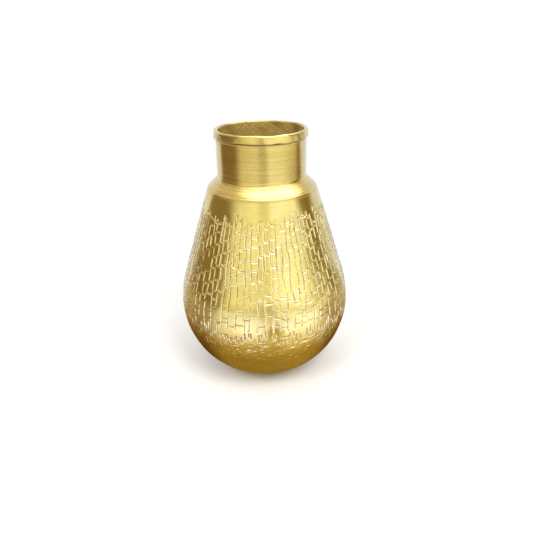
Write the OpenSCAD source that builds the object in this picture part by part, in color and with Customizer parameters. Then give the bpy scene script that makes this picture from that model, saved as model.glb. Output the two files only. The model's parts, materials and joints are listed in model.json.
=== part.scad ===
// Brass kalash pot: a spun and hand-chiselled vessel, brazed together from sheet pieces.
// The origin is the centre of the resting face, +Z points up and the body is round about Z.
// Lengths are in millimetres and angles in degrees.

/* [Body] */
// Height from the resting face to the lip
pot_h = 150; // [146:1:156]
// Outside diameter at the belly
belly_d = 103; // [100:1:108]
// Height of the widest point above the resting face
belly_z = 45.5; // [44:0.5:46.5]
// Radius of the arc that carries the wall up from the belly
upper_arc_r = 68; // [62:1:74]
// Radius of the arc that carries the wall down from the belly
lower_arc_r = 48; // [47.5:0.5:49]
// Lean of the conical wall from vertical
cone_angle = 18; // [17:0.5:19]
// Thickness of the body sheet
wall = 1.2; // [1:0.1:1.4]

/* [Shoulder] */
// Lean of the shoulder from vertical
shoulder_angle = 45; // [40:1:50]
// Outside radius of the bend between shoulder and cone
shoulder_bend_r = 4; // [3:0.5:5]

/* [Neck] */
// Outside diameter of the neck
neck_d = 51.1; // [50:0.1:52]
// Height where the neck leaves the shoulder
neck_z = 123.4; // [122:0.2:125]
// Thickness of the neck sheet
neck_wall = 1.5; // [1.3:0.1:1.7]
// Length of the neck's foot, turned out under the shoulder
neck_foot = 3; // [2:0.5:4]

/* [Rim] */
// Height of the strap around the mouth
band_h = 4.5; // [3.5:0.1:6]
// Thickness of the strap around the mouth
band_t = 1.1; // [0.9:0.1:1.4]
// Radius that dresses the lip, inside and outside
lip_r = 0.8; // [0.5:0.1:0.8]

/* [Seams] */
// Thickness of the lap inside each body seam
lap_t = 1; // [0.8:0.1:1.2]
// How far each lap reaches into the next piece
lap_h = 4.5; // [3:0.5:6]
// Depth of the vee that is filled with spelter along each body seam
vee = 0.35; // [0.2:0.05:0.5]
// Leg of the spelter bead around the foot of the neck
bead_leg = 1.2; // [0.8:0.1:1.6]

/* [Base] */
// Radius of the hollow pressed up inside the standing ring
dish_r = 14; // [12:0.5:14]
// Height of that hollow
dish_h = 1; // [0.5:0.1:1.5]

/* [Hidden] */
$fn = 180;

// Colours
brass = [0.78, 0.65, 0.29];
spelter = [0.86, 0.77, 0.47];

// Small allowances
seam_drop = 0.6;   // from the shoulder bend down to the shoulder seam
lap_root = 2;      // how far each lap overlaps its own piece
butt_gap = 0.35;   // gap between the two ends of the strap
solder_leg = 0.4;  // leg of the solder bead under the strap
arc_step = 2;      // angle between the points of an arc

belly_r = belly_d / 2;
neck_r = neck_d / 2;
mouth_r = neck_r - neck_wall;
band_z = pot_h - band_h;

// A station is a point of a sheet's outer face, in radius and height, and the angle of its outward normal
function unit(a) = [cos(a), sin(a)];
function along(a) = [-sin(a), cos(a)];
function inset(stations, d) = [for (s = stations) [s[0] - d * unit(s[1]), s[1]]];
function points(stations) = [for (s = stations) s[0]];
function reversed(list) = [for (i = [len(list) - 1:-1:0]) list[i]];
function arc(centre, r, a0, a1) =
    let (n = ceil(abs(a1 - a0) / arc_step))
    [for (i = [0:n]) let (a = a0 + (a1 - a0) * i / n) [centre + r * unit(a), a]];

// Belly and cone
upper_centre = [belly_r - upper_arc_r, belly_z];
lower_centre = [belly_r - lower_arc_r, belly_z];
belly = [belly_r, belly_z];
cone_foot = upper_centre + upper_arc_r * unit(cone_angle);

// Shoulder: its line starts at the neck and meets the cone's line at a corner, which is then rounded
shoulder_top = [neck_r, neck_z];
corner_run = (unit(cone_angle) * (shoulder_top - cone_foot)) / (unit(cone_angle) * along(shoulder_angle));
corner = shoulder_top - corner_run * along(shoulder_angle);
half_turn = (shoulder_angle - cone_angle) / 2;
bend_centre = corner - shoulder_bend_r / cos(half_turn) * unit(cone_angle + half_turn);
shoulder_seam = bend_centre + shoulder_bend_r * unit(cone_angle) - seam_drop * along(cone_angle);

// Where the underside of the shoulder meets the neck
shoulder_under = shoulder_top - [0, wall / sin(shoulder_angle)];

// The belly lap ends at a point of the belly's arc, so that it lies on the same faces
belly_lap_angle = arc_step * round(lap_h * 180 / (PI * upper_arc_r * arc_step));

// Base: a flat standing ring around a shallow dish
flat_angle = -asin(belly_z / lower_arc_r);
flat_r = lower_centre[0] + lower_arc_r * cos(flat_angle);
dish_arc_r = (pow(dish_r, 2) + pow(dish_h, 2)) / (2 * dish_h);
dish_half = asin(dish_r / dish_arc_r);

// Outer faces of the sheet pieces, each from its lowest station up
shoulder_bend = arc(bend_centre, shoulder_bend_r, cone_angle, shoulder_angle);
upper_face = concat(arc(upper_centre, upper_arc_r, 0, cone_angle), [[shoulder_seam, cone_angle]]);
dish_face = [
    for (s = arc([0, dish_h - dish_arc_r], dish_arc_r, 90, 90 - dish_half + arc_step / 2)) [s[0], s[1] - 180]
];
ring_face = [[[dish_r, 0], -90 - dish_half / 2], [[flat_r, 0], (flat_angle - 90) / 2]];
bowl_side = arc(lower_centre, lower_arc_r, flat_angle + arc_step, 0);

// ---------- flat sections, in radius and height ----------

// Sheet of one thickness behind an outer face
module sheet(stations, thick) {
    polygon(concat(points(stations), reversed(points(inset(stations, thick)))));
}

// The vee cut along a seam, centred on the outer face
module vee_cut(seam, angle) {
    translate(seam) rotate(angle + 45) square(vee * sqrt(2), center = true);
}

// The spelter that fills a vee flush with the outer face
module vee_fill(seam, angle) {
    polygon([seam - vee * unit(angle), seam - vee * along(angle), seam + vee * along(angle)]);
}

// The corner that a rounded lip leaves empty, at the origin, with the metal below and to the right
module lip_corner() {
    difference() {
        translate([0, -lip_r]) square(lip_r);
        translate([lip_r, -lip_r]) circle(lip_r);
    }
}

module solder_bead() {
    polygon([[neck_r, band_z], [neck_r + solder_leg, band_z], [neck_r, band_z + solder_leg]]);
}

module band_section() {
    difference() {
        translate([neck_r, band_z]) square([band_t, band_h]);
        translate([neck_r + band_t, pot_h]) mirror([1, 0]) lip_corner();
        solder_bead();
    }
}

// A straight wall that turns out under the shoulder
module neck_section() {
    foot_end = shoulder_under - neck_foot * along(shoulder_angle);
    difference() {
        polygon([
            [neck_r, pot_h], shoulder_under, foot_end, foot_end - neck_wall * unit(shoulder_angle),
            shoulder_under - neck_wall / cos(shoulder_angle / 2) * unit(shoulder_angle / 2), [mouth_r, pot_h]
        ]);
        translate([mouth_r, pot_h]) lip_corner();
    }
}

// Spelter in the corner between the neck and the shoulder
module neck_bead_section() {
    polygon([shoulder_top, shoulder_top - bead_leg * along(shoulder_angle), shoulder_top + [0, bead_leg]]);
}

module shoulder_section() {
    polygon(concat(
        [shoulder_seam],
        points(shoulder_bend),
        [shoulder_top, shoulder_under],
        reversed(points(inset(shoulder_bend, wall))),
        [shoulder_seam - wall * unit(cone_angle)]
    ));
}

// A lap: its root is one with the sheet that it belongs to, and it reaches behind the next sheet
module lap(root, reach) {
    sheet(inset(root, wall / 2), wall / 2 + lap_t);
    sheet(inset(reach, wall), lap_t);
}

// Reaches from the shoulder down inside the cone
module shoulder_lap() {
    low = [shoulder_seam - lap_h * along(cone_angle), cone_angle];
    seam = [shoulder_seam, cone_angle];
    high = [shoulder_seam + lap_root * along(cone_angle), cone_angle];
    lap([seam, high], [low, high]);
}

// Reaches from the bowl up inside the belly
module belly_lap() {
    root = arc(lower_centre, lower_arc_r, -lap_root / lower_arc_r * 180 / PI, 0);
    lap(root, concat(root, arc(upper_centre, upper_arc_r, 0, belly_lap_angle)));
}

// ---------- pieces ----------

// The thin slice at the back of the strap where its two ends meet
module butt_slice() {
    translate([-butt_gap / 2, 0, band_z]) cube([butt_gap, belly_r, band_h]);
}

module rim_band() {
    color(brass) difference() {
        rotate_extrude() band_section();
        butt_slice();
    }
}

module rim_solder() {
    color(spelter) {
        rotate_extrude() solder_bead();
        intersection() {
            rotate_extrude() band_section();
            butt_slice();
        }
    }
}

module neck() {
    color(brass) rotate_extrude() neck_section();
}

module neck_braze() {
    color(spelter) rotate_extrude() neck_bead_section();
}

module shoulder() {
    color(brass) rotate_extrude() {
        difference() {
            shoulder_section();
            vee_cut(shoulder_seam, cone_angle);
        }
        shoulder_lap();
    }
}

module shoulder_braze() {
    color(spelter) rotate_extrude() vee_fill(shoulder_seam, cone_angle);
}

module upper_body() {
    color(brass) rotate_extrude() difference() {
        sheet(upper_face, wall);
        vee_cut(shoulder_seam, cone_angle);
        vee_cut(belly, 0);
    }
}

module belly_braze() {
    color(spelter) rotate_extrude() vee_fill(belly, 0);
}

module lower_bowl() {
    color(brass) rotate_extrude() {
        difference() {
            sheet(concat(dish_face, ring_face, bowl_side), wall);
            vee_cut(belly, 0);
        }
        belly_lap();
    }
}

rim_band();
rim_solder();
neck();
neck_braze();
shoulder();
shoulder_braze();
upper_body();
belly_braze();
lower_bowl();
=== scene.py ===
"""A brass kalash pot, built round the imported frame: spun sheet, chiselled by hand and brazed together.

Lengths are in millimetres up to the point where a mesh is made. Angles are in radians unless a name says
degrees.
Each piece is a section in radius and height, turned about Z. A section runs with the metal on its left,
so that a point's outward normal is on its right. Theta is 0 on +X and grows towards +Y.
"""

import json
import math

import bpy
import numpy as np
from mathutils import Matrix, Vector


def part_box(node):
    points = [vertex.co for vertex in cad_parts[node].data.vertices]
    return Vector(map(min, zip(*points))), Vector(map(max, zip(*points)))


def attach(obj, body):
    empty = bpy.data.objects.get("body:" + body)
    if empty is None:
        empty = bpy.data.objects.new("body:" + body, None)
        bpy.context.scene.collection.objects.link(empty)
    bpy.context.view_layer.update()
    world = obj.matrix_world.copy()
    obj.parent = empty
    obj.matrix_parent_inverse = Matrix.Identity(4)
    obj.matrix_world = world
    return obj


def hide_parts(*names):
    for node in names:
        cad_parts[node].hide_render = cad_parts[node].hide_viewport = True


MM = 0.001
BODY = "root"
BACK = math.pi / 2  # theta of the strap's butt joint

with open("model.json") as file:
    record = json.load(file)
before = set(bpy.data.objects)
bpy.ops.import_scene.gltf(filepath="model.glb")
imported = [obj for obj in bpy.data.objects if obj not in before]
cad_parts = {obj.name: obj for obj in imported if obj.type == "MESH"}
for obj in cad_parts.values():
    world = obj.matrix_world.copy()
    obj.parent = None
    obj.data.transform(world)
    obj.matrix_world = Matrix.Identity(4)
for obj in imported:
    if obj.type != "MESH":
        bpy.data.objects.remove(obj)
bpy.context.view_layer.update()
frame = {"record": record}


# ---------- sizes, from the frame ----------

def extent(node):
    """A CAD node's greatest radius, lowest height and greatest height."""
    low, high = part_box(node)
    return high.x / MM, low.z / MM, high.z / MM


STRAP_R, STRAP_Z, POT_H = extent("rim_band")
BELLY_R, BELLY_Z, _ = extent("upper_body")
SEAM_R, seam_low, seam_high = extent("shoulder_braze")
SEAM_Z = (seam_low + seam_high) / 2
MOUTH_R = next(m["dims"]["r_mm"] for m in frame["record"]["mounts"] if m["name"] == "mouth")

WALL = 1.2
NECK_WALL = 1.5
NECK_R = MOUTH_R + NECK_WALL
NECK_Z = 123.4
CONE_LEAN = math.radians(18)
SHOULDER_LEAN = math.radians(45)
BEND_R = 4.0
UPPER_ARC_R = 68.0
LOWER_ARC_R = 48.0
BEAD_LEG = 1.2
SEAM_DROP = 0.6
NECK_FOOT = 3.0
VEE = 0.35
LAP = 1.0
LAP_REACH = 4.5
DISH_R = 14.0
DISH_H = 1.0
BURR_ROOM = 0.1  # the beaten faces start this far inside the CAD face, so that their burrs stay within it

UPPER_CENTRE = np.array([BELLY_R - UPPER_ARC_R, BELLY_Z])
LOWER_CENTRE = np.array([BELLY_R - LOWER_ARC_R, BELLY_Z])
SHOULDER_TOP = np.array([NECK_R, NECK_Z])
SHOULDER_UNDER = SHOULDER_TOP - [0, WALL / math.sin(SHOULDER_LEAN)]


# ---------- sections ----------

def unit(angle):
    return np.array([math.cos(angle), math.sin(angle)])


def along(angle):
    """The direction in which a wall runs upwards, where its normal is at this angle."""
    return np.array([-math.sin(angle), math.cos(angle)])


def line(p, q, step):
    """Points from p to q, about step apart."""
    p, q = np.array(p, float), np.array(q, float)
    count = max(1, round(np.linalg.norm(q - p) / step))
    return p + np.linspace(0, 1, count + 1)[:, None] * (q - p)


def arc(centre, radius, start, end, step):
    """Points along an arc, about step apart."""
    count = max(2, round(abs(end - start) * radius / step))
    angles = np.linspace(start, end, count + 1)
    return np.array(centre) + radius * np.c_[np.cos(angles), np.sin(angles)]


def chain(*parts):
    """Sections joined end to end, with the points that they share taken once."""
    points = np.concatenate(parts)
    apart = np.linalg.norm(np.diff(points, axis=0), axis=1) > 1e-4
    return points[np.r_[True, apart]]


def crisp(section, gap=0.03):
    """The same open section with a point close to each end, so that shading stays true up to a sharp edge."""
    first = section[0] + gap * (section[1] - section[0]) / np.linalg.norm(section[1] - section[0])
    last = section[-1] + gap * (section[-2] - section[-1]) / np.linalg.norm(section[-2] - section[-1])
    return np.concatenate([section[:1], [first], section[1:-1], [last], section[-1:]])


def normals(section, closed):
    """The outward normal at each point of a section."""
    if closed:
        step = np.roll(section, -1, 0) - np.roll(section, 1, 0)
    else:
        step = np.gradient(section, axis=0)
    turned = np.c_[step[:, 1], -step[:, 0]]
    return turned / np.linalg.norm(turned, axis=1)[:, None]


def run_length(section):
    """Distance along a section from its first point."""
    return np.r_[0, np.cumsum(np.linalg.norm(np.diff(section, axis=0), axis=1))]


# ---------- random but repeatable surfaces ----------

def harmonics(rng, theta, s, waves, turns, pitch):
    """Smooth noise of about unit height: waves that close round the pot. turns is how many go round,
    and pitch is their length along the section, each as (least, most)."""
    total = np.zeros(np.broadcast(theta, s).shape)
    for _ in range(waves):
        around = rng.integers(turns[0], turns[1] + 1)
        length = rng.uniform(*pitch)
        sign = rng.choice([-1, 1])
        phase = rng.uniform(0, 2 * math.pi)
        total += np.cos(around * theta + sign * 2 * math.pi * s / length + phase)
    return total * math.sqrt(2 / waves)


def ring_wave(seed, theta, turns, waves=8):
    """Noise of about unit height round a ring."""
    return harmonics(np.random.default_rng(seed), theta, 0.0, waves, turns, (1, 2))


def bump(x, middle, half_width):
    """A smooth hump of height 1."""
    q = np.clip(1 - ((x - middle) / half_width) ** 2, 0, None)
    return q * q


STROKE_REACH = 2.4  # how far a stroke changes the metal, in halves of its width
END_FADE = 0.6  # how much of a stroke's depth is lost at its very ends
BURR_SHARE = 0.3  # a burr's height over the depth of its cut
BURR_AT = (1.25, 0.6)  # a burr's middle and half its width, in halves of the stroke's width
PRESS_WIDTH = 1.3  # how far round a stroke the metal is pressed in
BARELY_CUT = 0.01  # a burr stands only where the metal is cut less than this
DIRT_AND_SHADE_FROM = 0.1  # the depth of cut at which dirt starts to stay, with painted shade added in the deeper cuts
DIRT_AND_SHADE_GAIN = 2.6  # how fast dirt and painted shade build up below that, per mm
# the darkest that dirt and painted shade in a cut get
DARKEST_DIRT_AND_SHADE = 0.8
GLINT = 11.0  # how soon a burr gets a painted glint, per mm of its height
GLINT_FROM = 0.03  # the height of burr at which that starts
GLINT_CUT = 0.06  # and the depth of cut at which it stops


class Relief:
    """What the tools left on a face.
    Theta goes round it, and s is the distance up its section from the belly."""

    def __init__(self, count, s, radius):
        self.count = count
        self.s = s
        self.radius = radius
        self.theta = np.arange(count) * 2 * math.pi / count
        shape = (len(s), count)
        self.cut = np.zeros(shape)
        self.burr = np.zeros(shape)
        self.press = np.zeros(shape)

    def stroke(self, path, half_width, depth, press=0.0):
        """One chisel stroke along path, a list of (theta, s).
        Metal is cut out, raised beside the cut and pressed in round it."""
        reach = max(STROKE_REACH * half_width, 2 * PRESS_WIDTH if press else 0)
        path = np.array(path, float)
        rows = np.flatnonzero(
            (self.s > path[:, 1].min() - reach) & (self.s < path[:, 1].max() + reach)
        )
        if len(rows) == 0:
            return
        step = 2 * math.pi / self.count
        spread = reach / self.radius[rows].min()
        columns = np.arange(
            math.floor((path[:, 0].min() - spread) / step),
            math.ceil((path[:, 0].max() + spread) / step) + 1,
        )
        theta = columns * step
        window = np.ix_(rows, columns % self.count)
        distance, share = self.nearest(path, theta, self.s[rows], self.radius[rows])
        fade = np.clip(1 - np.abs(2 * share - 1) ** 5 * END_FADE, 0, 1)
        q = distance / half_width
        cut = depth * fade * np.clip(1 - q * q, 0, None) ** 1.5
        burr = BURR_SHARE * depth * fade * bump(q, *BURR_AT)
        self.cut[window] = np.maximum(self.cut[window], cut)
        self.burr[window] = np.maximum(self.burr[window], burr)
        if press:
            pressed = press * np.exp(-((distance / PRESS_WIDTH) ** 2))
            self.press[window] = np.maximum(self.press[window], pressed)

    @staticmethod
    def nearest(path, theta, s, radius):
        """Each point's distance from a path, in mm, and how far along the path the nearest point is."""
        lengths = []
        found = np.full((len(s), len(theta)), np.inf)
        share = np.zeros_like(found)
        middle = radius.mean()
        for p, q in zip(path[:-1], path[1:]):
            lengths.append(math.hypot((q[0] - p[0]) * middle, q[1] - p[1]))
        total, gone = max(sum(lengths), 1e-6), 0.0
        for p, q, length in zip(path[:-1], path[1:], lengths):
            du = (q[0] - p[0]) * radius[:, None]
            dv = q[1] - p[1]
            x = (theta[None, :] - p[0]) * radius[:, None]
            y = (s - p[1])[:, None]
            t = np.clip((x * du + y * dv) / np.maximum(du * du + dv * dv, 1e-9), 0, 1)
            d = np.hypot(x - t * du, y - t * dv)
            nearer = d < found
            found = np.where(nearer, d, found)
            share = np.where(nearer, (gone + t * length) / total, share)
            gone += length
        return found, share

    def height(self):
        return self.burr * (self.cut < BARELY_CUT) - self.cut - self.press

    def dirt(self):
        """How dark or bright each point's colour is made. The floor of a cut holds dirt, with painted shade
        in the deeper cuts, up to DARKEST_DIRT_AND_SHADE, and the burr beside it gets a painted glint, down to
        -1."""
        painted_glint = np.clip(GLINT * (self.burr - GLINT_FROM), 0, 1) * (self.cut < GLINT_CUT)
        return np.clip(DIRT_AND_SHADE_GAIN * (self.cut - DIRT_AND_SHADE_FROM), 0, DARKEST_DIRT_AND_SHADE) - painted_glint


# ---------- the chiselled pattern ----------

COLUMNS = 76  # upright lines round the pot
CELL = (4.4, 7.6)  # least and greatest height of a cell
PATTERN_TOP = 63.6  # where the chiselling stops, up the section from the belly
PATTERN_FOOT = 5.0
LAST_ROW = 6.4  # where the cross strokes line up in one last row, above the crowded ones
STROKE_HALF = 0.42
STROKE_DEPTH = 0.38
PRESSED = 0.06  # how deep the metal round a stroke is pressed in
LEAST_APART = 1.3  # a cross stroke nearer to its neighbour's than this is moved up
MOVED_UP = 1.6
TICKS_PER_COLUMN = 2.1
TICK_HALF = 0.55
TICK_PRESSED = 0.04
BOWL_STROKES = 2100
BOWL_HALF = 0.45
SCRATCHES = 70
SCRATCH_HALF = 0.26
SCRATCH_DEPTH = 0.035
SCRATCH_R = 45  # the radius that turns a scratch's length round the pot into an angle
PATTERN_SEED = 7


class Pattern:
    """Stacked cells between wandering upright lines, as in brickwork.
    Each cell has a sagging cross stroke at its foot."""

    def __init__(self, seed):
        self.rng = np.random.default_rng(seed)
        self.strokes = []
        pitch = 2 * math.pi / COLUMNS
        self.columns = [(k + self.rng.uniform(-0.14, 0.14)) * pitch for k in range(COLUMNS)]
        self.sway = [self.rng.uniform(0, 2 * math.pi, 2) for _ in range(COLUMNS)]
        self.fade_seed = seed + 1

    def line_theta(self, k, s):
        """Where upright line k runs at height s."""
        a, b = self.sway[k % COLUMNS]
        turn = 2 * math.pi * (k // COLUMNS)
        wander = 0.0075 * math.sin(s / 9.0 + a) + 0.003 * math.sin(s / 3.7 + b)
        return self.columns[k % COLUMNS] + turn + wander

    def strength(self, theta, s):
        """How hard the chisel was struck about here: whole patches come out fainter."""
        rng = np.random.default_rng(self.fade_seed)
        patch = harmonics(rng, np.array(theta), np.array(s), 7, (1, 6), (25, 60))
        return float(np.clip(0.9 + 0.14 * patch, 0.5, 1.15))

    def add(self, path, half_width, depth, press):
        theta, s = np.mean(path, axis=0)
        self.strokes.append((path, half_width, depth * self.strength(theta, s), press))

    def upright(self, k, low, high):
        """Line k from low to high, wandering, with a small kink where the chisel was moved along."""
        rng = self.rng
        count = max(3, round((high - low) / 1.2))
        heights = np.linspace(low, high, count)
        shift = rng.normal(0, 0.0085)
        lean = rng.normal(0, 0.006)
        path = [
            (self.line_theta(k, s) + shift + lean * (i / count - 0.5) + rng.normal(0, 0.0012), s)
            for i, s in enumerate(heights)
        ]
        self.add(path, STROKE_HALF * rng.uniform(0.75, 1.3), STROKE_DEPTH * rng.uniform(0.5, 1.25), PRESSED)

    def cross(self, k, s, sag=(0.05, 0.5)):
        """The sagging stroke that joins line k to the next at height s."""
        rng = self.rng
        left, right = self.line_theta(k, s), self.line_theta(k + 1, s)
        sag = rng.uniform(*sag)
        tilt = rng.normal(0, 0.15)
        inset = rng.uniform(-0.04, 0.16)
        path = []
        for t in np.linspace(inset, 1 - inset, 6):
            drop = sag * (1 - (2 * t - 1) ** 2)
            path.append((left + t * (right - left), s - drop + tilt * (t - 0.5)))
        self.add(path, STROKE_HALF * rng.uniform(0.9, 1.4), STROKE_DEPTH * rng.uniform(0.75, 1.35), PRESSED)

    def body(self):
        """All the cells, column by column. A cell's cross stroke is kept off its neighbour's."""
        rng = self.rng
        last = []
        for k in range(COLUMNS):
            crossings = []
            if rng.random() < 0.8:
                self.cross(k, LAST_ROW + rng.normal(0, 0.75))
            s = LAST_ROW + rng.uniform(3.0, CELL[1])
            top = PATTERN_TOP + rng.normal(0, 1.4)
            while s < top:
                clash = min((abs(s - other) for other in last), default=9.0)
                if clash < LEAST_APART:
                    s += MOVED_UP
                if s < top and rng.random() < 0.84:
                    self.cross(k, s)
                crossings.append(s)
                s += rng.uniform(*CELL)
            if rng.random() < 0.8:
                self.cross(k, top - rng.uniform(0.2, 1.4), (0.8, 1.25))
            self.uprights(k, crossings, top)
            last = crossings

    def uprights(self, k, crossings, top):
        """The strokes of line k, broken near the crossings."""
        rng = self.rng
        stops = [PATTERN_FOOT - rng.uniform(0, 2.5), *crossings, top + rng.uniform(0, 3.0)]
        for low, high in zip(stops[:-1], stops[1:]):
            if high - low > 1.6 and rng.random() < 0.93:
                self.upright(k, low - rng.uniform(-0.5, 0.4), high - rng.uniform(0.2, 1.7))

    def belly_ticks(self):
        """The crowded short strokes at the belly, where the cells end."""
        rng = self.rng
        count = round(COLUMNS * TICKS_PER_COLUMN)
        for k in range(count):
            if rng.random() < 0.08:
                continue
            theta = (k + rng.uniform(-0.35, 0.35)) * 2 * math.pi / count
            low = rng.uniform(-6.0, -0.6)
            high = low + rng.uniform(2.0, 5.0)
            path = [(theta, low), (theta + rng.normal(0, 0.005), (low + high) / 2), (theta, high)]
            self.add(path, TICK_HALF, STROKE_DEPTH * rng.uniform(1.1, 1.9), TICK_PRESSED)
            if rng.random() < 0.4:
                self.cross(k // 2, low + rng.uniform(-0.6, 0.6), (0.1, 0.5))

    def bowl(self):
        """Light stray strokes that thin out down the bowl."""
        rng = self.rng
        for _ in range(BOWL_STROKES):
            s = -3.5 - 42 * rng.random() ** 1.1
            theta = rng.uniform(0, 2 * math.pi)
            depth = STROKE_DEPTH * rng.uniform(0.25, 0.85)
            if rng.random() < 0.62:
                length = rng.uniform(1.2, 3.4)
                path = [(theta, s), (theta + rng.normal(0, 0.004), s + length)]
            else:
                width = rng.uniform(0.03, 0.075)
                path = [(theta, s), (theta + width / 2, s - 0.15), (theta + width, s)]
            self.add(path, BOWL_HALF, depth, 0.0)

    def scratches(self):
        """Long shallow scratches from handling, in random directions."""
        rng = self.rng
        for _ in range(SCRATCHES):
            s = rng.uniform(-30, 60)
            theta = rng.uniform(0, 2 * math.pi)
            length = rng.uniform(4, 13)
            angle = rng.uniform(0.2, 1.2) * rng.choice([-1, 1])
            end = (theta + length * math.cos(angle) / SCRATCH_R, s + length * math.sin(angle))
            self.add([(theta, s), end], SCRATCH_HALF, SCRATCH_DEPTH, 0.0)


def chisel_pattern():
    pattern = Pattern(PATTERN_SEED)
    pattern.body()
    pattern.belly_ticks()
    pattern.bowl()
    pattern.scratches()
    return pattern


# ---------- meshes ----------

def turned_points(section, heights, count):
    """Points of a section turned about Z in count steps, each moved out along its normal by its height."""
    closed = np.allclose(section[0], section[-1])
    out = normals(section, closed)
    theta = np.arange(count) * 2 * math.pi / count
    heights = np.broadcast_to(heights, (len(section), count))
    radius = section[:, 0, None] + out[:, 0, None] * heights
    z = section[:, 1, None] + out[:, 1, None] * heights
    return np.stack([radius * np.cos(theta), radius * np.sin(theta), z], -1)


def ring_points(section, out, heights):
    """Points of a section turned about Z, all moved out in one direction by their heights."""
    theta = np.arange(heights.shape[1]) * 2 * math.pi / heights.shape[1]
    radius = section[:, 0, None] + out[0] * heights
    z = section[:, 1, None] + out[1] * heights
    return np.stack([radius * np.cos(theta), radius * np.sin(theta), z], -1)


def joined(first, n_first, second, n_second):
    """Quads or triangles between two rings.
    A ring has one point at a pole, or a whole multiple of the other's points."""
    i = np.arange(n_first)
    if n_first == n_second:
        j = (i + 1) % n_first
        return np.c_[first + i, first + j, second + j, second + i], np.empty((0, 3), int)
    if n_second == 1:
        return np.empty((0, 4), int), np.c_[first + i, first + (i + 1) % n_first, np.full(n_first, second)]
    if n_first == 1:
        i = np.arange(n_second)
        return np.empty((0, 4), int), np.c_[second + (i + 1) % n_second, second + i, np.full(n_second, first)]
    if n_first < n_second:
        quads, tris = joined(second, n_second, first, n_first)
        return quads, tris[:, ::-1]
    ratio = n_first // n_second
    owner = (i + ratio // 2) // ratio % n_second
    fans = np.c_[first + i, first + (i + 1) % n_first, second + owner]
    k = np.arange(n_second)
    turn = (k * ratio + ratio - ratio // 2) % n_first
    links = np.c_[first + turn, second + (k + 1) % n_second, second + k]
    return np.empty((0, 4), int), np.concatenate([fans, links])


def wrap_uv(corners, u, v):
    """UVs of each face's corners, with the faces that cross the seam kept in one piece, and poles centred."""
    cu, cv = u[corners], v[corners]
    pole = np.isnan(cu)
    crosses = (np.nanmax(cu, 1) - np.nanmin(cu, 1)) > 0.5
    cu = np.where(crosses[:, None] & (cu < 0.5), cu + 1, cu)
    return np.stack([np.where(pole, np.nanmean(cu, 1)[:, None], cu), cv], -1)


def skin(name, rings, closed, dirt=None):
    """A mesh object over a list of rings, with a cylindrical UV map and a value for each point: dirt and
    painted shade above zero, a painted glint below.
    """
    counts = [len(r) for r in rings]
    starts = np.r_[0, np.cumsum(counts)[:-1]]
    co = np.concatenate(rings)
    quads, tris = [], []
    order = list(range(len(rings)))
    for a, b in zip(order, order[1:] + ([0] if closed else [])):
        q, t = joined(starts[a], counts[a], starts[b], counts[b])
        quads.append(q)
        tris.append(t)
    quads, tris = np.concatenate(quads), np.concatenate(tris)
    mesh = bpy.data.meshes.new(name)
    mesh.from_pydata((co * MM).tolist(), [], quads.tolist() + tris.tolist())
    u = np.concatenate([[np.nan] if n == 1 else np.arange(n) / n for n in counts])
    v = np.concatenate([np.full(n, k / len(rings)) for k, n in enumerate(counts)])
    uvs = np.concatenate([wrap_uv(quads, u, v).reshape(-1, 2), wrap_uv(tris, u, v).reshape(-1, 2)])
    mesh.uv_layers.new(name="OFBake").uv.foreach_set("vector", uvs.astype(np.float32).ravel())
    held = np.zeros(len(co), np.float32) if dirt is None else np.concatenate(dirt).astype(np.float32)
    mesh.attributes.new("dirt", "FLOAT", "POINT").data.foreach_set("value", held)
    mesh.shade_smooth()
    obj = bpy.data.objects.new(name, mesh)
    bpy.context.scene.collection.objects.link(obj)
    return obj


def lathe(name, section, heights, count, dirt=None):
    """A ring-shaped piece whose whole section has the same number of points round it.
    The section ends where it starts."""
    points = turned_points(section, heights, count)[:-1]
    held = None if dirt is None else list(dirt[:-1])
    return skin(name, list(points), True, held)


def place(obj, node, slot, material):
    """Puts a finished piece in the frame in place of its CAD node."""
    obj.data.materials.append(material)
    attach(obj, BODY)
    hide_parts(node)


# ---------- pieces ----------

# Points round a ring. Each is a whole multiple of the last.
FINE = 1260
MEDIUM = 630
PLAIN = 210

HAND_DEPTH = 0.045  # how uneven the beaten wall is
HAND_INSET = 0.08  # how far in it lies, so that it stays within the CAD face
BODY_STEP = 0.33  # from point to point up the chiselled wall
BOWL_STEP = 0.36
BURIED = 0.15  # how far the neck's spelter reaches into the sheets


def grid(section, count):
    """Theta round a section and the distance along it, ready to broadcast together."""
    theta = np.arange(count)[None, :] * 2 * math.pi / count
    return theta, run_length(section)[:, None]


def hand_work(theta, s):
    """The slow unevenness of the beaten wall, where s is the distance up the section from the belly."""
    waves = harmonics(np.random.default_rng(81), theta, s, 9, (3, 11), (14, 45))
    return HAND_DEPTH * waves - HAND_INSET


def rim_drop(theta):
    """How far the hammered lip lies below the CAD's top, all round."""
    return np.clip(0.2 * (1 + 0.5 * ring_wave(31, theta, (3, 13))), 0.02, None)


def rim_push(theta):
    """How far the lip is pushed in or out of round."""
    return 0.1 * ring_wave(32, theta, (3, 11), 10)


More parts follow.
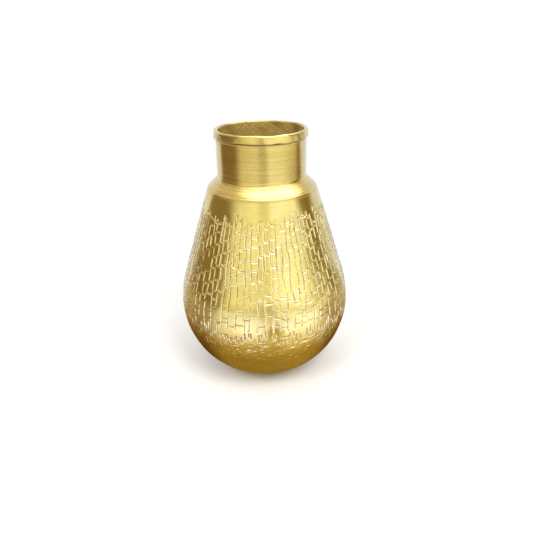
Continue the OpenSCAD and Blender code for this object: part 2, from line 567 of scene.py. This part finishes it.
def make_strap():
    """The strap: a bevelled band, hammered round the mouth, with its butt joint at the back."""
    low, high, inner, outer = STRAP_Z, POT_H, NECK_R + 0.02, STRAP_R
    bevel, edge, taper = 0.85, 0.55, 0.12
    relieved = (inner + 0.3, low + 0.25)  # the lower inside edge is cut back for the solder
    section = chain(
        line(relieved, (outer - edge, low), 0.2),
        arc((outer - edge, low + edge), edge, -math.pi / 2, 0, 0.12),
        line((outer, low + edge), (outer - taper, high - bevel), 0.35),
        arc((outer - taper - bevel, high - bevel), bevel, 0, math.pi / 2, 0.16),
        line((outer - taper - bevel, high), (inner, high), 0.15),
        line((inner, high), (inner, low + 0.6), 0.8),
        line((inner, low + 0.6), relieved, 0.2),
    )
    theta, s = grid(section, MEDIUM)
    rng = np.random.default_rng(33)
    z = section[:, 1, None]
    face = np.clip((section[:, 0, None] - inner) / (outer - inner), 0, 1)
    hammered = -0.1 - 0.045 * harmonics(rng, theta, s, 14, (6, 26), (6, 14))
    joint = bump(theta, BACK, 0.45 / outer)
    butt = -0.16 * joint
    heights = face * np.clip(hammered + butt, -0.4, 0)
    rings = turned_points(section, heights, MEDIUM)[:-1]
    up = np.clip((z - low) / (high - low), 0, 1)[:-1]
    foot = 0.16 * ring_wave(34, theta, (3, 20), 10)
    rings[:, :, 2] += -rim_drop(theta) * up + (foot - 0.1) * (1 - up)
    grow = 1 + (rim_push(theta) - 0.12) * up / outer
    rings[:, :, :2] *= grow[:, :, None]
    # The butt joint is dark with solder. The lower edge is darkened for flux and as painted shade under the
    # strap.
    dirt = np.maximum(joint, 0.9 * bump(z, low, 0.75))
    return skin("rim_strap", list(rings), True, list(dirt[:-1]))


def make_strap_seam():
    """The dark, uneven bead of solder in the step under the strap."""
    foot = (NECK_R - 0.1, STRAP_Z - 0.35)
    knee = (NECK_R + 0.12, STRAP_Z - 0.1)
    outer = (NECK_R + 0.5, STRAP_Z + 0.45)
    inner = (NECK_R - 0.1, STRAP_Z + 0.45)
    section = chain(
        line(foot, knee, 0.12),
        line(knee, outer, 0.2),
        line(outer, inner, 0.3),
        line(inner, foot, 0.4),
    )
    theta, s = grid(section, MEDIUM)
    rough = harmonics(np.random.default_rng(35), theta, s, 12, (14, 90), (3, 9))
    return lathe("strap_solder", section, 0.04 * rough, MEDIUM)


def lathe_rings(s, seed, pitch, height):
    """Fine turned lines: noise along the section that is nearly the same all round."""
    rng = np.random.default_rng(seed)
    total = np.zeros(np.shape(s))
    for _ in range(16):
        total += np.cos(2 * math.pi * s / rng.uniform(*pitch) + rng.uniform(0, 2 * math.pi))
    return height * total * math.sqrt(2 / 16)


def make_neck():
    """The neck: turned outside, rough inside near the lip, and lipped at the top."""
    top, lip = POT_H, 0.8
    foot_end = SHOULDER_UNDER - NECK_FOOT * along(SHOULDER_LEAN)
    inner_foot = SHOULDER_UNDER - NECK_WALL / math.cos(SHOULDER_LEAN / 2) * unit(SHOULDER_LEAN / 2)
    section = chain(
        line(foot_end, SHOULDER_UNDER, 1.0),
        line(SHOULDER_UNDER, (NECK_R, top), 0.3),
        line((NECK_R, top), (MOUTH_R + lip, top), 0.2),
        arc((MOUTH_R + lip, top - lip), lip, math.pi / 2, math.pi, 0.16),
        line((MOUTH_R, top - lip), inner_foot, 0.55),
        line(inner_foot, foot_end - NECK_WALL * unit(SHOULDER_LEAN), 1.0),
        line(foot_end - NECK_WALL * unit(SHOULDER_LEAN), foot_end, 1.0),
    )
    theta, s = grid(section, MEDIUM)
    r, z = section[:, 0, None], section[:, 1, None]
    outside = (r > NECK_R - 0.01) & (z > NECK_Z)
    inside = (r < MOUTH_R + lip) & (z > NECK_Z)
    rng = np.random.default_rng(41)
    turned = lathe_rings(s, 42, (0.8, 3.2), 0.012) + 0.02 * harmonics(rng, theta, s, 8, (2, 9), (12, 40))
    rough_from, rough_over = 137, 9  # the inner wall starts to be rough here, and is fully so after this
    near_lip = np.clip((z - rough_from) / rough_over, 0, 1) * np.clip((top - 0.5 - z) / 1.2, 0, 1)
    rough = 0.045 * harmonics(rng, theta, s, 22, (18, 90), (1.6, 5))
    streaks = 0.008 * harmonics(rng, theta, s, 12, (30, 120), (30, 90))
    heights = outside * (turned - 0.03) + inside * (rough * near_lip + streaks)
    rings = turned_points(section, heights, MEDIUM)[:-1]
    up = np.clip((z - STRAP_Z) / (top - STRAP_Z), 0, 1)[:-1]
    rings[:, :, 2] -= (rim_drop(theta) + 0.03) * up
    rings[:, :, :2] *= (1 + (rim_push(theta) - 0.02) * up / NECK_R)[:, :, None]
    # The cosine term is painted shade: it darkens the inner wall towards +X and lightens it towards -X.
    patches = 0.1 * harmonics(rng, theta, s, 9, (2, 14), (8, 30)) + 0.2 * np.cos(theta)
    # Outside, the band just under the strap is darkened for flux and as painted shade cast by the strap.
    dirt = inside * np.clip(0.62 + patches, 0, 1) + outside * bump(z, STRAP_Z - 0.4, 1.3)
    return skin("neck_tube", list(rings), True, list(dirt[:-1]))


def make_neck_spelter():
    """Spelter drawn into the corner between neck and shoulder.
    Its face is hollow, within the CAD's straight one."""
    radius = BEAD_LEG / math.tan(SHOULDER_LEAN / 2)
    centre = SHOULDER_TOP + [radius, BEAD_LEG]
    low = SHOULDER_TOP - BEAD_LEG * along(SHOULDER_LEAN)
    hollow = arc(centre, radius, math.pi + SHOULDER_LEAN, math.pi, 0.12)
    inwards = BURIED * unit(SHOULDER_LEAN)
    in_neck = line(hollow[-1], hollow[-1] - [BURIED, 0], 0.1)
    section = chain(hollow, in_neck, [SHOULDER_TOP - inwards], [low - inwards], [hollow[0]])
    theta, s = grid(section, MEDIUM)
    uneven = 0.02 * harmonics(np.random.default_rng(51), theta, s, 8, (3, 24), (4, 12))
    return lathe("neck_spelter", section, uneven, MEDIUM)


# Rings turned into the shoulder: how far each is from the seam, half its width and its depth
SHOULDER_CUTS = ((0.7, 0.3, 0.04), (2.4, 0.5, 0.06), (6.2, 0.3, 0.03), (8.0, 0.5, 0.07), (9.2, 0.3, 0.05))


def shoulder_geometry():
    """The bend's centre and the seam, worked out as the CAD does."""
    seam = np.array([SEAM_R, SEAM_Z])
    bend_low = seam + SEAM_DROP * along(CONE_LEAN)
    return bend_low - BEND_R * unit(CONE_LEAN), seam


def make_shoulder():
    """The shoulder: a turned cap with a few cut rings, and a lap inside the cone."""
    bend, seam = shoulder_geometry()
    inner_seam = seam - WALL * unit(CONE_LEAN)
    lap_low = inner_seam - LAP_REACH * along(CONE_LEAN)
    section = chain(
        line(seam - VEE * unit(CONE_LEAN), seam + VEE * along(CONE_LEAN), 0.3),
        line(seam + VEE * along(CONE_LEAN), bend + BEND_R * unit(CONE_LEAN), 0.2),
        arc(bend, BEND_R, CONE_LEAN, SHOULDER_LEAN, 0.16),
        line(bend + BEND_R * unit(SHOULDER_LEAN), SHOULDER_TOP, 0.16),
        line(SHOULDER_TOP, SHOULDER_UNDER, 0.8),
        line(SHOULDER_UNDER, bend + (BEND_R - WALL) * unit(SHOULDER_LEAN), 1.0),
        arc(bend, BEND_R - WALL - LAP, SHOULDER_LEAN, CONE_LEAN, 0.6),
        line(lap_low - LAP * unit(CONE_LEAN), lap_low, 1.0),
        line(lap_low, inner_seam, 1.0),
        line(inner_seam, seam - VEE * unit(CONE_LEAN), 0.8),
    )
    theta, s = grid(section, MEDIUM)
    top = run_length(section)[np.argmin(np.linalg.norm(section - SHOULDER_TOP, axis=1))]
    shown = (s >= run_length(section)[1]) & (s < top)
    turned = lathe_rings(s, 61, (1.2, 4.6), 0.009)
    wander = 0.12 * ring_wave(62, theta, (1, 4), 4)
    cuts = sum(depth * bump(s + wander, at, half) for at, half, depth in SHOULDER_CUTS)
    rising = np.clip(s / 4.0, 0, 1)
    beaten = hand_work(theta, seam_height() + s)
    heights = shown * (turned * rising + beaten - cuts - BURR_ROOM * (1 - rising))
    dirt = np.broadcast_to(shown * np.clip(cuts / 0.08, 0, 0.4), heights.shape)
    return lathe("shoulder_cap", section, heights, MEDIUM, dirt)


def seam_height():
    """How far up the section the shoulder seam is from the belly."""
    _, seam = shoulder_geometry()
    foot = UPPER_CENTRE + UPPER_ARC_R * unit(CONE_LEAN)
    return CONE_LEAN * UPPER_ARC_R + np.linalg.norm(seam - foot)


def seam_ring(name, seam, lean, s_seam, pattern):
    """The spelter in the vee of a body seam, dressed flush with the beaten wall and chiselled with it."""
    face = crisp(line(seam - VEE * along(lean), seam + VEE * along(lean), 0.17))
    s = s_seam - VEE + run_length(face)
    relief = carved(face, s, pattern, FINE)
    outer = relief.height() + hand_work(relief.theta[None, :], s[:, None]) - BURR_ROOM
    root = VEE * unit(lean)
    apex = turned_points(np.array([seam - root, seam - root * 1.01]), np.zeros((2, 1)), FINE)
    rings = [*ring_points(face, unit(lean), np.minimum(outer, 0)), apex[0]]
    return skin(name, rings, True, [*relief.dirt(), np.zeros(FINE)])


FINE_TO = -13.0  # how far down the bowl its mesh is fine, for the strokes near the belly
FAINT_RINGS = (34.6, 51.8)  # where two faint rings go round the cone, up the section from the belly


def body_face():
    """The outer face of the cone, from the belly seam up to the shoulder seam."""
    _, seam = shoulder_geometry()
    inset = BURR_ROOM
    start = VEE / UPPER_ARC_R
    foot = UPPER_CENTRE + (UPPER_ARC_R - inset) * unit(CONE_LEAN)
    return chain(
        arc(UPPER_CENTRE, UPPER_ARC_R - inset, start, CONE_LEAN, BODY_STEP),
        line(foot, seam - VEE * along(CONE_LEAN) - inset * unit(CONE_LEAN), BODY_STEP),
    )


def carved(face, s, pattern, count):
    """The relief that the pattern's strokes leave on a face."""
    relief = Relief(count, s, face[:, 0])
    for stroke in pattern.strokes:
        relief.stroke(*stroke)
    return relief


def make_body(pattern):
    """The chiselled cone."""
    face = crisp(body_face())
    _, seam = shoulder_geometry()
    s = VEE + run_length(face)
    relief = carved(face, s, pattern, FINE)
    theta = relief.theta[None, :]
    rings_cut = sum(0.05 * bump(s, at, 0.4) for at in FAINT_RINGS)[:, None]
    outer = relief.height() + hand_work(theta, s[:, None]) - rings_cut
    inner_top = seam - WALL * unit(CONE_LEAN)
    inner = chain(
        line(inner_top, UPPER_CENTRE + (UPPER_ARC_R - WALL) * unit(CONE_LEAN), 3.0),
        arc(UPPER_CENTRE, UPPER_ARC_R - WALL, CONE_LEAN, 0, 3.0),
    )
    back = chain([seam - VEE * unit(CONE_LEAN)], inner, [(BELLY_R - VEE, BELLY_Z)])
    rings = list(turned_points(face, np.minimum(outer, 0.0), FINE))
    rings += list(turned_points(back, np.zeros((len(back), 1)), PLAIN))
    dirt = [*relief.dirt(), *np.zeros((len(back), PLAIN))]
    return skin("chiselled_body", rings, True, dirt)


def thinned(rings, s):
    """The bowl's rings, with every other point left out below FINE_TO."""
    return [ring if at > FINE_TO else ring[::FINE // MEDIUM] for ring, at in zip(rings, s)]


def make_bowl(pattern):
    """The plain bowl, with stray strokes near the belly, a standing ring and a dish under it."""
    flat = -math.asin(BELLY_Z / LOWER_ARC_R)
    flat_r = LOWER_CENTRE[0] + LOWER_ARC_R * math.cos(flat)
    dish_arc = (DISH_R ** 2 + DISH_H ** 2) / (2 * DISH_H)
    dish_angle = math.asin(DISH_R / dish_arc)
    dish_centre = (0, DISH_H - dish_arc)
    side = arc(LOWER_CENTRE, LOWER_ARC_R - BURR_ROOM, flat + 0.004, -VEE / LOWER_ARC_R, BOWL_STEP)
    face = crisp(side)
    s = run_length(face) - run_length(face)[-1] - VEE
    relief = carved(face, s, pattern, FINE)
    theta = relief.theta[None, :]
    falling = np.clip(-s / 6.0, 0, 1)[:, None]
    turned = lathe_rings(s, 92, (0.8, 2.8), 0.011)[:, None]
    outer = relief.height() + hand_work(theta, s[:, None]) + falling * turned
    under = chain(
        arc(dish_centre, dish_arc, math.pi / 2 - 0.02, math.pi / 2 - dish_angle, 0.8),
        line((DISH_R, 0), (flat_r, 0), 0.6),
    )
    lap_angle = LAP_REACH / UPPER_ARC_R
    inner = chain(
        [(BELLY_R - VEE, BELLY_Z)],
        [(BELLY_R - WALL, BELLY_Z)],
        arc(UPPER_CENTRE, UPPER_ARC_R - WALL, 0.01, lap_angle, 2.0),
        arc(UPPER_CENTRE, UPPER_ARC_R - WALL - LAP, lap_angle, 0, 2.0),
        arc(LOWER_CENTRE, LOWER_ARC_R - WALL, -0.1, flat + 0.02, 1.5),
        arc(dish_centre, dish_arc + WALL, math.pi / 2 - dish_angle, math.pi / 2 - 0.02, 1.2),
    )
    rings = [np.array([[0, 0, DISH_H]])]
    rings += list(turned_points(under, np.zeros((len(under), 1)), PLAIN))
    rings += thinned(turned_points(face, np.minimum(outer, 0.0), FINE), s)
    rings += list(turned_points(inner, np.zeros((len(inner), 1)), PLAIN))
    rings += [np.array([[0, 0, DISH_H + WALL]])]
    dirt = [np.zeros(1), *np.zeros((len(under), PLAIN)), *thinned(relief.dirt(), s)]
    dirt += [*np.zeros((len(inner), PLAIN)), np.zeros(1)]
    return skin("lower_bowl_shell", rings, False, dirt)


# ---------- materials ----------

BLACK_BROWN = (0.10, 0.062, 0.014, 1)  # the dirt in a cut, and the painted shade in the deeper cuts and along the strap's lower edge
PAINTED_GLINT_COLOUR = (1.0, 0.95, 0.80, 1)  # a painted glint: the pale highlight colour painted on the burr beside a cut
TARNISH_AND_PAINTED_SHADE = (0.22, 0.12, 0.008, 1)  # the tarnished wall inside the mouth; the neck's material also uses it for painted shade, on the +X side of that wall and under the strap


def node(tree, kind, inputs=None, **settings):
    """A shader node with its settings and inputs. An input is a value or a socket to link from."""
    made = tree.nodes.new(kind)
    for name, value in settings.items():
        setattr(made, name, value)
    for name, value in (inputs or {}).items():
        if isinstance(value, bpy.types.NodeSocket):
            tree.links.new(value, made.inputs[name])
        else:
            made.inputs[name].default_value = value
    return made


def mixed(tree, factor, a, b):
    """One colour turning into another by a factor, each a value or a socket."""
    mix = tree.nodes.new("ShaderNodeMix")
    mix.data_type = "RGBA"
    for socket, value in ((mix.inputs[0], factor), (mix.inputs[6], a), (mix.inputs[7], b)):
        if isinstance(value, bpy.types.NodeSocket):
            tree.links.new(value, socket)
        else:
            socket.default_value = value
    return mix.outputs[2]


def ranged(tree, value, low, high, to_low, to_high):
    """A value moved from one range to another, and kept inside it."""
    made = node(tree, "ShaderNodeMapRange", {"Value": value, "From Min": low, "From Max": high,
                                             "To Min": to_low, "To Max": to_high})
    return made.outputs[0]


def math_node(tree, operation, a, b=0.0):
    made = node(tree, "ShaderNodeMath", {0: a, 1: b}, operation=operation)
    return made.outputs[0]


def noise(tree, position, scale, detail=3.0, rough=0.55):
    """Noise over the object, where scale may differ along X, Y and Z."""
    mapped = node(tree, "ShaderNodeMapping", {"Vector": position, "Scale": scale})
    made = node(tree, "ShaderNodeTexNoise", {"Vector": mapped.outputs[0], "Scale": 1.0,
                                             "Detail": detail, "Roughness": rough})
    return made.outputs[0]


def blank_tree(owner):
    """The emptied node tree of a material or the world."""
    owner.use_nodes = True
    owner.node_tree.nodes.clear()
    return owner.node_tree


def brass(
    name, colour, dark, roughness,
    turned=1.0, mottled=0.35, anisotropy=0.5, grit=0.0, dirt_and_shade_colour=BLACK_BROWN,
):
    """Worn brass: turned lines round the axis, patches of tarnish, and darker metal where dirt collects, with
    painted shade in some of it, and a painted glint on the burrs of cuts.
    """
    material = bpy.data.materials.new(name)
    tree = blank_tree(material)
    place_in = node(tree, "ShaderNodeTexCoord").outputs["Object"]
    fine = noise(tree, place_in, (45, 45, 4200), 2.0)
    broad = noise(tree, place_in, (30, 30, 1100), 3.0)
    patches = noise(tree, place_in, (75, 75, 60), 4.0, 0.6)
    specks = noise(tree, place_in, (900, 900, 900), 2.0)
    dirt = node(tree, "ShaderNodeAttribute", attribute_name="dirt").outputs["Fac"]
    tarnish = ranged(tree, patches, 0.38, 0.72, 0.0, mottled)
    lines = ranged(tree, broad, 0.35, 0.65, 0.0, 0.35 * turned)
    spotted = ranged(tree, specks, 0.55, 0.75, 0.0, 0.5 * grit)
    worn = math_node(tree, "ADD", math_node(tree, "ADD", tarnish, lines), spotted)
    base = mixed(tree, worn, colour, dark)
    # Painted glint: where the value is below zero, the colour turns towards a pale highlight colour.
    base = mixed(tree, ranged(tree, dirt, -0.9, 0.0, 0.75, 0.0), base, PAINTED_GLINT_COLOUR)
    # Above zero the colour darkens, for dirt and for painted shade alike.
    held = math_node(tree, "MAXIMUM", dirt, 0.0)
    dirt_and_shade = math_node(tree, "MULTIPLY", math_node(tree, "POWER", held, 1.6), 0.92)
    base = mixed(tree, dirt_and_shade, base, dirt_and_shade_colour)
    metal = ranged(tree, dirt, 0.15, 0.6, 1.0, 0.3)
    rough = math_node(tree, "ADD", ranged(tree, patches, 0.3, 0.75, roughness - 0.04, roughness + 0.08),
                      ranged(tree, fine, 0.3, 0.7, 0.0, 0.07 * turned))
    height = math_node(tree, "ADD", math_node(tree, "MULTIPLY", fine, turned),
                       math_node(tree, "MULTIPLY", specks, 0.3 + grit))
    relief = node(tree, "ShaderNodeBump", {"Height": height, "Strength": 1.0, "Distance": 0.000012})
    tangent = node(tree, "ShaderNodeTangent", direction_type="RADIAL", axis="Z")
    shader = node(tree, "ShaderNodeBsdfPrincipled", {
        "Base Color": base, "Metallic": metal, "Roughness": rough, "Anisotropic": anisotropy,
        "Anisotropic Rotation": 0.25, "Normal": relief.outputs[0], "Tangent": tangent.outputs[0],
        "Coat Weight": 0.5, "Coat Roughness": 0.16, "Coat IOR": 1.5,
    })
    node(tree, "ShaderNodeOutputMaterial", {"Surface": shader.outputs[0]})
    return material


def make_materials():
    gold, dark = (0.80, 0.65, 0.22, 1), (0.50, 0.35, 0.09, 1)
    satin, soft = (0.80, 0.65, 0.24, 1), (0.75, 0.58, 0.19, 1)
    return {
        "rim": brass("rim_brass", soft, dark, 0.24, turned=0.25, mottled=0.5, anisotropy=0.0, grit=0.3),
        "neck": brass("turned_brass", soft, dark, 0.21, mottled=0.3, anisotropy=0.65, dirt_and_shade_colour=TARNISH_AND_PAINTED_SHADE),
        "body": brass("chiselled_brass", gold, dark, 0.19, turned=0.45, mottled=0.4, anisotropy=0.1),
        "bowl": brass("bowl_brass", satin, dark, 0.27, turned=0.8, mottled=0.5, anisotropy=0.3),
        "solder": brass("dark_solder", (0.10, 0.06, 0.02, 1), (0.04, 0.025, 0.01, 1), 0.55, turned=0.1),
    }


# ---------- studio ----------

TABLE_EDGE = 215  # how far behind the pot the floor ends
TABLE_REACH = 900  # the distance that the TABLE_TONES run to
FLOOR_HALF = 1.6  # in metres
FLOOR_COLOUR = (0.86, 0.85, 0.83, 1)
CAMERA_WHITE = (1.0, 1.0, 1.0, 1)

# Only reflections see the tones below. They were chosen to put the light and dark bands of one
# setting on the metal, so the pot looks different in another. A stop is an angle or a distance, and its tone.

# The room, by degrees round from the front towards +X. It is dark at the sides.
ROOM_TONES = (
    (-180, (0.92, 0.94, 0.98)), (-124, (0.92, 0.94, 0.98)), (-119, (0.30, 0.21, 0.10)),
    (-66, (0.31, 0.22, 0.10)), (-50, (1.12, 1.08, 0.90)), (-12, (1.32, 1.35, 1.15)),
    (-3, (1.08, 1.05, 0.78)), (9, (1.08, 1.05, 0.78)), (17, (1.50, 1.62, 1.70)), (64, (1.40, 1.48, 1.45)),
    (82, (0.33, 0.23, 0.07)), (106, (0.25, 0.17, 0.05)), (115, (0.90, 0.94, 1.04)), (180, (0.90, 0.95, 1.08)),
)
# The table's glow for reflections, a painted reflection, in the same way, as a share of its tone by distance:
# far from the pot, then near it
FAR_ROUND = (
    (-180, (1.05, 1.00, 0.95)), (-125, (1.05, 1.00, 0.95)), (-121, (0.26, 0.18, 0.10)),
    (-66, (0.28, 0.19, 0.11)), (-54, (0.76, 0.70, 0.54)), (-12, (0.86, 0.82, 0.66)),
    (-4, (0.52, 0.44, 0.26)), (9, (0.52, 0.44, 0.26)), (18, (1.12, 1.12, 0.96)), (88, (1.05, 1.02, 0.86)),
    (103, (0.26, 0.17, 0.06)), (122, (0.22, 0.14, 0.05)), (127, (1.00, 0.95, 0.85)),
    (180, (1.00, 0.95, 0.85)),
)
NEAR_ROUND = (
    (-180, (0.60, 0.55, 0.42)), (-125, (0.60, 0.55, 0.42)), (-119, (0.38, 0.27, 0.13)),
    (-72, (0.30, 0.21, 0.11)), (-46, (0.90, 0.84, 0.68)), (-10, (1.00, 0.98, 0.95)),
    (16, (1.12, 1.12, 1.08)), (52, (1.05, 1.00, 0.92)), (82, (0.36, 0.26, 0.13)), (120, (0.40, 0.29, 0.13)),
    (127, (0.60, 0.55, 0.42)), (180, (0.60, 0.55, 0.42)),
)
# The table's glow for reflections, a painted reflection, by distance from the pot's axis in mm
TABLE_TONES = (
    (0, (0.32, 0.22, 0.05)), (58, (0.42, 0.28, 0.05)), (76, (0.60, 0.43, 0.14)), (108, (1.22, 1.14, 0.92)),
    (165, (1.62, 1.85, 2.90)), (390, (1.50, 1.60, 1.80)), (480, (0.54, 0.51, 0.35)),
    (680, (0.54, 0.51, 0.37)), (760, (1.40, 1.40, 1.25)), (900, (1.40, 1.40, 1.25)),
)
NEAR_TO_FAR = (250, 430)  # the distances between which the near tones give way to the far ones
PAINTED_SHADOW_AT = (160, 10)  # the middle of a painted shadow, a dark oval on the table that only reflections see: mm out and degrees round
PAINTED_SHADOW_HALF = (95, 12)
PAINTED_SHADOW_EDGE = (0.6, 1.1)  # where the oval starts and ends to fade, as a share of its half size
# the painted shadow's colour
PAINTED_SHADOW_TONE = (0.54, 0.42, 0.13, 1)
WALL_SHADE = (0.88, 0.80, 0.68, 1)  # the upper walls
WALL_RISE = (0.35, 0.6)  # between these heights of a direction the walls turn into their shade
OVERHEAD = (4.2, 4.2, 4.2, 1)
OVERHEAD_RISE = (0.74, 0.9)  # and between these the shade turns into the light overhead
OVERHEAD_LEAN = 0.2  # how far the overhead light is moved towards +X
ROOM_LIGHT = (0.05, 0.7, 0.12, 1.15)  # the light on rough surfaces: two heights, and its strength at each


def ramp(tree, share, low, high, stops):
    """A colour ramp over a value that runs from low to high."""
    made = node(tree, "ShaderNodeValToRGB", {0: ranged(tree, share, low, high, 0.0, 1.0)})
    elements = made.color_ramp.elements
    elements.remove(elements[1])
    for k, (at, colour) in enumerate(stops):
        stop = elements[0] if k == 0 else elements.new((at - low) / (high - low))
        stop.position = (at - low) / (high - low)
        stop.color = (*colour, 1)
    return made.outputs[0]


def degrees_round(tree, split):
    """A direction's angle round the pot, from the front towards +X, in degrees."""
    away = math_node(tree, "MULTIPLY", split.outputs[1], -1.0)
    return math_node(tree, "DEGREES", math_node(tree, "ARCTAN2", split.outputs[0], away))


def make_world():
    """The room. The camera sees it white, rough surfaces see light overhead, reflections see its tones."""
    world = bpy.data.worlds.new("studio")
    bpy.context.scene.world = world
    tree = blank_tree(world)
    split = node(tree, "ShaderNodeSeparateXYZ", {0: node(tree, "ShaderNodeTexCoord").outputs["Generated"]})
    up = split.outputs[2]
    lean = math_node(tree, "ADD", up, math_node(tree, "MULTIPLY", split.outputs[0], OVERHEAD_LEAN))
    walls = ramp(tree, degrees_round(tree, split), -180, 180, ROOM_TONES)
    low = mixed(tree, ranged(tree, up, *WALL_RISE, 0.0, 1.0), walls, WALL_SHADE)
    reflected = mixed(tree, ranged(tree, lean, *OVERHEAD_RISE, 0.0, 1.0), low, OVERHEAD)
    shade = ranged(tree, up, *ROOM_LIGHT)
    lit = node(tree, "ShaderNodeCombineColor", {0: shade, 1: shade, 2: shade}).outputs[0]
    path = node(tree, "ShaderNodeLightPath")
    colour = mixed(tree, path.outputs["Is Camera Ray"], lit, CAMERA_WHITE)
    colour = mixed(tree, path.outputs["Is Glossy Ray"], colour, reflected)
    background = node(tree, "ShaderNodeBackground", {"Color": colour, "Strength": 1.0})
    node(tree, "ShaderNodeOutputWorld", {"Surface": background.outputs[0]})


def table_reflected(tree):
    """The table's glow in reflections, a painted reflection, by distance and direction, with the dark oval on
    it as a painted shadow.
    """
    position = node(tree, "ShaderNodeTexCoord").outputs["Object"]
    distance = node(tree, "ShaderNodeVectorMath", {0: position}, operation="LENGTH").outputs["Value"]
    millimetres = ranged(tree, distance, 0.0, TABLE_REACH * MM, 0.0, float(TABLE_REACH))
    azimuth = degrees_round(tree, node(tree, "ShaderNodeSeparateXYZ", {0: position}))
    tone = ramp(tree, millimetres, 0, TABLE_REACH, TABLE_TONES)
    near, far = (ramp(tree, azimuth, -180, 180, stops) for stops in (NEAR_ROUND, FAR_ROUND))
    share = mixed(tree, ranged(tree, millimetres, *NEAR_TO_FAR, 0.0, 1.0), near, far)
    reflected = node(tree, "ShaderNodeVectorMath", {0: tone, 1: share}, operation="MULTIPLY")
    offsets = [
        math_node(tree, "MULTIPLY", math_node(tree, "SUBTRACT", value, at), 1 / half)
        for value, at, half in zip((millimetres, azimuth), PAINTED_SHADOW_AT, PAINTED_SHADOW_HALF)
    ]
    away = node(tree, "ShaderNodeCombineXYZ", {0: offsets[0], 1: offsets[1]}).outputs[0]
    off = node(tree, "ShaderNodeVectorMath", {0: away}, operation="LENGTH").outputs["Value"]
    return mixed(tree, ranged(tree, off, *PAINTED_SHADOW_EDGE, 0.0, 1.0), PAINTED_SHADOW_TONE, reflected.outputs[0])


def make_floor():
    """A plain pale table top that ends behind the pot. Reflections see it as a glow in set tones: a painted
    reflection, not its own colour.
    """
    edge, side = TABLE_EDGE * MM, FLOOR_HALF
    mesh = bpy.data.meshes.new("floor")
    corners = [(-side, -side, 0), (side, -side, 0), (side, edge, 0), (-side, edge, 0)]
    mesh.from_pydata(corners, [], [(0, 1, 2, 3)])
    floor = bpy.data.objects.new("floor", mesh)
    bpy.context.scene.collection.objects.link(floor)
    material = bpy.data.materials.new("pale_floor")
    tree = blank_tree(material)
    seen = node(tree, "ShaderNodeEmission", {"Color": table_reflected(tree)})
    plain = node(tree, "ShaderNodeBsdfDiffuse", {"Color": FLOOR_COLOUR})
    glossy = node(tree, "ShaderNodeLightPath").outputs["Is Glossy Ray"]
    shader = node(tree, "ShaderNodeMixShader", {0: glossy, 1: plain.outputs[0], 2: seen.outputs[0]})
    node(tree, "ShaderNodeOutputMaterial", {"Surface": shader.outputs[0]})
    mesh.materials.append(material)


def area_light(name, place, target, size, watts):
    light = bpy.data.lights.new(name, "AREA")
    light.energy = watts
    light.size = size
    obj = bpy.data.objects.new(name, light)
    obj.location = place
    obj.rotation_mode = "QUATERNION"
    obj.rotation_quaternion = (Vector(target) - Vector(place)).to_track_quat("-Z", "Y")
    obj.visible_glossy = False
    bpy.context.scene.collection.objects.link(obj)


def make_lights():
    middle = (0, 0, POT_H * MM / 2)
    area_light("key", (0.35, -0.55, 0.75), middle, 0.45, 5.0)
    area_light("fill", (-0.45, -0.5, 0.6), middle, 0.35, 2.5)


# ---------- camera ----------

CAMERA_BACK = 294.9
CAMERA_UP = 200.4
CAMERA_PITCH = math.radians(24.7)
CAMERA_YAW = math.radians(0.31)
CAMERA_ROLL = math.radians(-1.2)
SENSOR = 36.0
FOCAL_SHARE = 520 / 533  # focal length over the width of the picture


def make_camera():
    data = bpy.data.cameras.new("camera")
    data.sensor_width = SENSOR
    data.lens = SENSOR * FOCAL_SHARE
    data.clip_start = 0.01
    camera = bpy.data.objects.new("camera", data)
    forward = Vector((math.sin(CAMERA_YAW) * math.cos(CAMERA_PITCH),
                      math.cos(CAMERA_YAW) * math.cos(CAMERA_PITCH), -math.sin(CAMERA_PITCH)))
    level = Vector((math.cos(CAMERA_YAW), -math.sin(CAMERA_YAW), 0))
    upright = level.cross(forward)
    right = math.cos(CAMERA_ROLL) * level + math.sin(CAMERA_ROLL) * upright
    up = right.cross(forward)
    camera.matrix_world = Matrix.LocRotScale(
        Vector((0, -CAMERA_BACK, CAMERA_UP)) * MM,
        Matrix((right, up, -forward)).transposed().to_quaternion(),
        None,
    )
    bpy.context.scene.collection.objects.link(camera)
    bpy.context.scene.camera = camera


def make_pot():
    materials = make_materials()
    pattern = chisel_pattern()
    _, seam = shoulder_geometry()
    belly = np.array([BELLY_R, BELLY_Z])
    place(make_strap(), "rim_band", "rim_brass", materials["rim"])
    place(make_strap_seam(), "rim_solder", "spelter", materials["solder"])
    place(make_neck(), "neck", "turned_brass", materials["neck"])
    place(make_neck_spelter(), "neck_braze", "spelter", materials["neck"])
    place(make_shoulder(), "shoulder", "turned_brass", materials["neck"])
    shoulder_ring = seam_ring("shoulder_spelter", seam, CONE_LEAN, seam_height(), pattern)
    place(shoulder_ring, "shoulder_braze", "spelter", materials["body"])
    place(make_body(pattern), "upper_body", "chiselled_brass", materials["body"])
    place(seam_ring("belly_spelter", belly, 0.0, 0.0, pattern), "belly_braze", "spelter", materials["body"])
    place(make_bowl(pattern), "lower_bowl", "bowl_brass", materials["bowl"])


bpy.context.scene.view_settings.view_transform = "Standard"
make_camera()
make_pot()
make_floor()
make_lights()
make_world()
